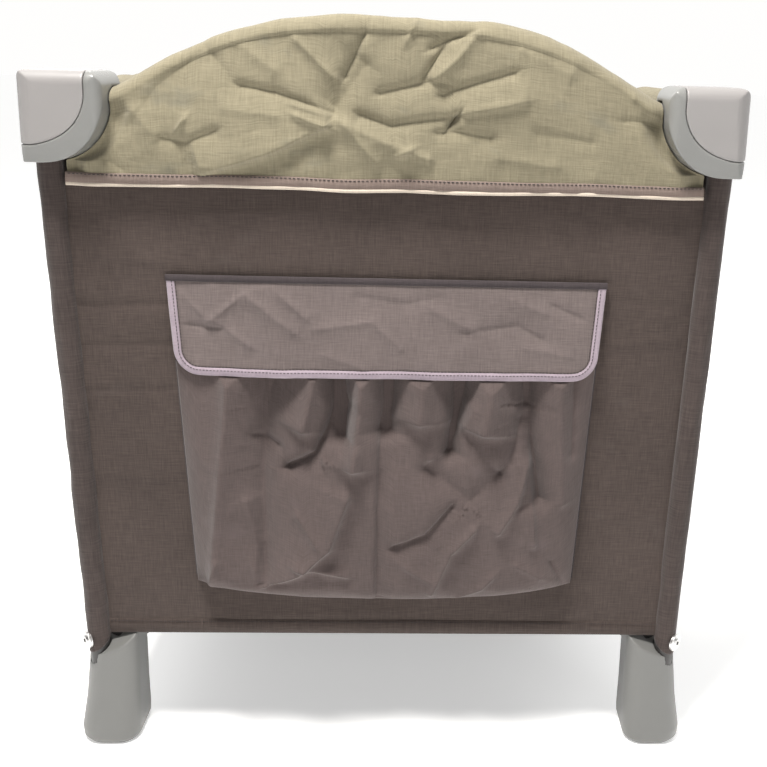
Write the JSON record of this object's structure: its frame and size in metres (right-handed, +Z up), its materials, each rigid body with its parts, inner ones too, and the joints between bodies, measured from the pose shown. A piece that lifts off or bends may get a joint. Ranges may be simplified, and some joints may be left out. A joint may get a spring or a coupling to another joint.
{
  "type": "folding playpen",
  "caption": "Folding travel cot with domed end covers, fabric walls, an end pocket with flap, plastic corners and feet, and a folding steel frame.",
  "frame": {"origin": "on the floor, at the middle of the footprint", "axes": "+Z up, +Y along the length with the pocket end at -Y, +X across the width, to the right as seen from the pocket end"},
  "size_m": [0.7, 1.016, 0.795],
  "materials": {
    "housing_plastic": "satin moulded mid-grey plastic",
    "cap_plastic": "satin moulded light grey plastic",
    "steel_tube": "dark powder-coated steel",
    "zinc_steel": "zinc-plated steel",
    "red_plastic": "moulded red plastic",
    "red_webbing": "woven webbing",
    "wall_cloth": "charcoal-brown woven polyester",
    "cover_cloth": "olive linen-look polyester",
    "pocket_cloth": "thin brown chambray",
    "flap_cloth": "brown-grey chambray, lilac-grey binding",
    "mat_cloth": "quilted grey polyester"
  },
  "bodies": {
    "leg_fl": {"leg_tube_fl": "steel_tube", "foot_fl": "housing_plastic", "corner_housing_fl": "housing_plastic", "corner_cap_fl": "cap_plastic", "corner_fasteners_fl": "zinc_steel", "end_panel_front": "wall_cloth", "end_cover_front": "cover_cloth", "side_panel_left": "wall_cloth", "pocket": "pocket_cloth"},
    "leg_fr": {"leg_tube_fr": "steel_tube", "foot_fr": "housing_plastic", "corner_housing_fr": "housing_plastic", "corner_cap_fr": "cap_plastic", "corner_fasteners_fr": "zinc_steel", "side_panel_right": "wall_cloth"},
    "leg_bl": {"leg_tube_bl": "steel_tube", "foot_bl": "housing_plastic", "corner_housing_bl": "housing_plastic", "corner_cap_bl": "cap_plastic", "corner_fasteners_bl": "zinc_steel", "end_panel_back": "wall_cloth", "end_cover_back": "cover_cloth"},
    "leg_br": {"leg_tube_br": "steel_tube", "foot_br": "housing_plastic", "corner_housing_br": "housing_plastic", "corner_cap_br": "cap_plastic", "corner_fasteners_br": "zinc_steel"},
    "strut_fl": {"strut_fl": "steel_tube"},
    "strut_fr": {"strut_fr": "steel_tube"},
    "strut_bl": {"strut_bl": "steel_tube"},
    "strut_br": {"strut_br": "steel_tube"},
    "hub": {"hub": "housing_plastic", "hub_pins": "zinc_steel", "pull_loop": "red_webbing", "floor_panel": "wall_cloth"},
    "end_rail_fl": {"end_rail_fl": "steel_tube"},
    "side_rail_fl": {"side_rail_fl": "steel_tube"},
    "end_rail_fr": {"end_rail_fr": "steel_tube"},
    "side_rail_fr": {"side_rail_fr": "steel_tube"},
    "end_rail_bl": {"end_rail_bl": "steel_tube"},
    "side_rail_bl": {"side_rail_bl": "steel_tube"},
    "end_rail_br": {"end_rail_br": "steel_tube"},
    "side_rail_br": {"side_rail_br": "steel_tube"},
    "latch_front": {"latch_housing_front": "housing_plastic", "latch_pins_front": "zinc_steel"},
    "button_front": {"latch_button_front": "red_plastic"},
    "latch_back": {"latch_housing_back": "housing_plastic", "latch_pins_back": "zinc_steel"},
    "button_back": {"latch_button_back": "red_plastic"},
    "latch_left": {"latch_housing_left": "housing_plastic", "latch_pins_left": "zinc_steel"},
    "button_left": {"latch_button_left": "red_plastic"},
    "latch_right": {"latch_housing_right": "housing_plastic", "latch_pins_right": "zinc_steel"},
    "button_right": {"latch_button_right": "red_plastic"},
    "flap": {"pocket_flap": "flap_cloth"},
    "mat_a": {"mattress_a": "mat_cloth"},
    "mat_b": {"mattress_b": "mat_cloth"},
    "mat_c": {"mattress_c": "mat_cloth"},
    "mat_d": {"mattress_d": "mat_cloth"}
  },
  "joints": [
    {"name": "frame_fold", "type": "hinge", "parent": "leg_fl", "child": "strut_fl", "pos_m": [-0.297, -0.439, 0.112], "axis": [0.8367, -0.5476, 0], "range_deg": [0, 80], "deforming": ["end_panel_front", "end_panel_back", "end_cover_front", "end_cover_back", "side_panel_left", "side_panel_right", "pocket", "pocket_flap", "floor_panel", "mattress_a", "mattress_b", "mattress_c", "mattress_d"]},
    {"name": "hub_level", "type": "hinge", "parent": "strut_fl", "child": "hub", "pos_m": [-0.028, -0.028, 0.112], "axis": [-0.8367, 0.5476, 0], "range_deg": [0, 80]},
    {"name": "strut_fold_fr", "type": "hinge", "parent": "hub", "child": "strut_fr", "pos_m": [0.028, -0.028, 0.112], "axis": [0.8367, 0.5476, 0], "range_deg": [0, 80]},
    {"name": "leg_upright_fr", "type": "hinge", "parent": "strut_fr", "child": "leg_fr", "pos_m": [0.297, -0.439, 0.112], "axis": [-0.8367, -0.5476, 0], "range_deg": [0, 80]},
    {"name": "strut_fold_bl", "type": "hinge", "parent": "hub", "child": "strut_bl", "pos_m": [-0.028, 0.028, 0.112], "axis": [-0.8367, -0.5476, 0], "range_deg": [0, 80]},
    {"name": "leg_upright_bl", "type": "hinge", "parent": "strut_bl", "child": "leg_bl", "pos_m": [-0.297, 0.439, 0.112], "axis": [0.8367, 0.5476, 0], "range_deg": [0, 80]},
    {"name": "strut_fold_br", "type": "hinge", "parent": "hub", "child": "strut_br", "pos_m": [0.028, 0.028, 0.112], "axis": [-0.8367, 0.5476, 0], "range_deg": [0, 80]},
    {"name": "leg_upright_br", "type": "hinge", "parent": "strut_br", "child": "leg_br", "pos_m": [0.297, 0.439, 0.112], "axis": [0.8367, -0.5476, 0], "range_deg": [0, 80]},
    {"name": "end_rail_fold_fl", "type": "hinge", "parent": "leg_fl", "child": "end_rail_fl", "pos_m": [-0.297, -0.456, 0.705], "axis": [0, 1, 0], "range_deg": [0, 80]},
    {"name": "side_rail_fold_fl", "type": "hinge", "parent": "leg_fl", "child": "side_rail_fl", "pos_m": [-0.314, -0.439, 0.705], "axis": [-1, 0, 0], "range_deg": [0, 80]},
    {"name": "end_rail_fold_fr", "type": "hinge", "parent": "leg_fr", "child": "end_rail_fr", "pos_m": [0.297, -0.456, 0.705], "axis": [0, -1, 0], "range_deg": [0, 80]},
    {"name": "side_rail_fold_fr", "type": "hinge", "parent": "leg_fr", "child": "side_rail_fr", "pos_m": [0.314, -0.439, 0.705], "axis": [-1, 0, 0], "range_deg": [0, 80]},
    {"name": "end_rail_fold_bl", "type": "hinge", "parent": "leg_bl", "child": "end_rail_bl", "pos_m": [-0.297, 0.456, 0.705], "axis": [0, 1, 0], "range_deg": [0, 80]},
    {"name": "side_rail_fold_bl", "type": "hinge", "parent": "leg_bl", "child": "side_rail_bl", "pos_m": [-0.314, 0.439, 0.705], "axis": [1, 0, 0], "range_deg": [0, 80]},
    {"name": "end_rail_fold_br", "type": "hinge", "parent": "leg_br", "child": "end_rail_br", "pos_m": [0.297, 0.456, 0.705], "axis": [0, -1, 0], "range_deg": [0, 80]},
    {"name": "side_rail_fold_br", "type": "hinge", "parent": "leg_br", "child": "side_rail_br", "pos_m": [0.314, 0.439, 0.705], "axis": [1, 0, 0], "range_deg": [0, 80]},
    {"name": "latch_level_front", "type": "hinge", "parent": "end_rail_fl", "child": "latch_front", "pos_m": [-0.028, -0.456, 0.705], "axis": [0, -1, 0], "range_deg": [0, 80]},
    {"name": "latch_level_back", "type": "hinge", "parent": "end_rail_bl", "child": "latch_back", "pos_m": [-0.028, 0.456, 0.705], "axis": [0, -1, 0], "range_deg": [0, 80]},
    {"name": "latch_level_left", "type": "hinge", "parent": "side_rail_fl", "child": "latch_left", "pos_m": [-0.314, -0.028, 0.705], "axis": [1, 0, 0], "range_deg": [0, 80]},
    {"name": "latch_level_right", "type": "hinge", "parent": "side_rail_fr", "child": "latch_right", "pos_m": [0.314, -0.028, 0.705], "axis": [1, 0, 0], "range_deg": [0, 80]},
    {"name": "mattress_lift", "type": "slide", "parent": "hub", "child": "mat_b", "axis": [0, 0, 1], "range_m": [0, 0.2]},
    {"name": "latch_press_front", "type": "slide", "parent": "latch_front", "child": "button_front", "axis": [0, 0, 1], "range_m": [0, 0.006], "stiffness_N_per_m": 300, "springref_m": -0.003},
    {"name": "latch_press_back", "type": "slide", "parent": "latch_back", "child": "button_back", "axis": [0, 0, 1], "range_m": [0, 0.006], "stiffness_N_per_m": 300, "springref_m": -0.003},
    {"name": "latch_press_left", "type": "slide", "parent": "latch_left", "child": "button_left", "axis": [0, 0, 1], "range_m": [0, 0.006], "stiffness_N_per_m": 300, "springref_m": -0.003},
    {"name": "latch_press_right", "type": "slide", "parent": "latch_right", "child": "button_right", "axis": [0, 0, 1], "range_m": [0, 0.006], "stiffness_N_per_m": 300, "springref_m": -0.003},
    {"name": "flap_lift", "type": "hinge", "parent": "leg_fl", "child": "flap", "pos_m": [0, -0.47308, 0.53695], "axis": [-1, 0, 0], "range_deg": [0, 150]},
    {"name": "mat_fold", "type": "hinge", "parent": "mat_b", "child": "mat_c", "pos_m": [0, 0, 0.167], "axis": [1, 0, 0], "range_deg": [0, 90]},
    {"name": "mat_fold_a", "type": "hinge", "parent": "mat_b", "child": "mat_a", "pos_m": [0, -0.22058, 0.167], "axis": [-1, 0, 0], "range_deg": [0, 90]},
    {"name": "mat_fold_d", "type": "hinge", "parent": "mat_c", "child": "mat_d", "pos_m": [0, 0.22058, 0.167], "axis": [1, 0, 0], "range_deg": [0, 90]}
  ],
  "couplings": [
    {"joint": "hub_level", "follows": "frame_fold", "ratio": 1},
    {"joint": "strut_fold_fr", "follows": "frame_fold", "ratio": 1},
    {"joint": "leg_upright_fr", "follows": "frame_fold", "ratio": 1},
    {"joint": "strut_fold_bl", "follows": "frame_fold", "ratio": 1},
    {"joint": "leg_upright_bl", "follows": "frame_fold", "ratio": 1},
    {"joint": "strut_fold_br", "follows": "frame_fold", "ratio": 1},
    {"joint": "leg_upright_br", "follows": "frame_fold", "ratio": 1},
    {"joint": "end_rail_fold_fl", "follows": "frame_fold", "ratio": 1},
    {"joint": "side_rail_fold_fl", "follows": "frame_fold", "ratio": 1},
    {"joint": "end_rail_fold_fr", "follows": "frame_fold", "ratio": 1},
    {"joint": "side_rail_fold_fr", "follows": "frame_fold", "ratio": 1},
    {"joint": "end_rail_fold_bl", "follows": "frame_fold", "ratio": 1},
    {"joint": "side_rail_fold_bl", "follows": "frame_fold", "ratio": 1},
    {"joint": "end_rail_fold_br", "follows": "frame_fold", "ratio": 1},
    {"joint": "side_rail_fold_br", "follows": "frame_fold", "ratio": 1},
    {"joint": "latch_level_front", "follows": "frame_fold", "ratio": 1},
    {"joint": "latch_level_back", "follows": "frame_fold", "ratio": 1},
    {"joint": "latch_level_left", "follows": "frame_fold", "ratio": 1},
    {"joint": "latch_level_right", "follows": "frame_fold", "ratio": 1},
    {"joint": "mattress_lift", "follows": "frame_fold", "m_per_rad": 0.14317},
    {"joint": "mat_fold_a", "follows": "mat_fold", "ratio": 1},
    {"joint": "mat_fold_d", "follows": "mat_fold", "ratio": 1}
  ]
}
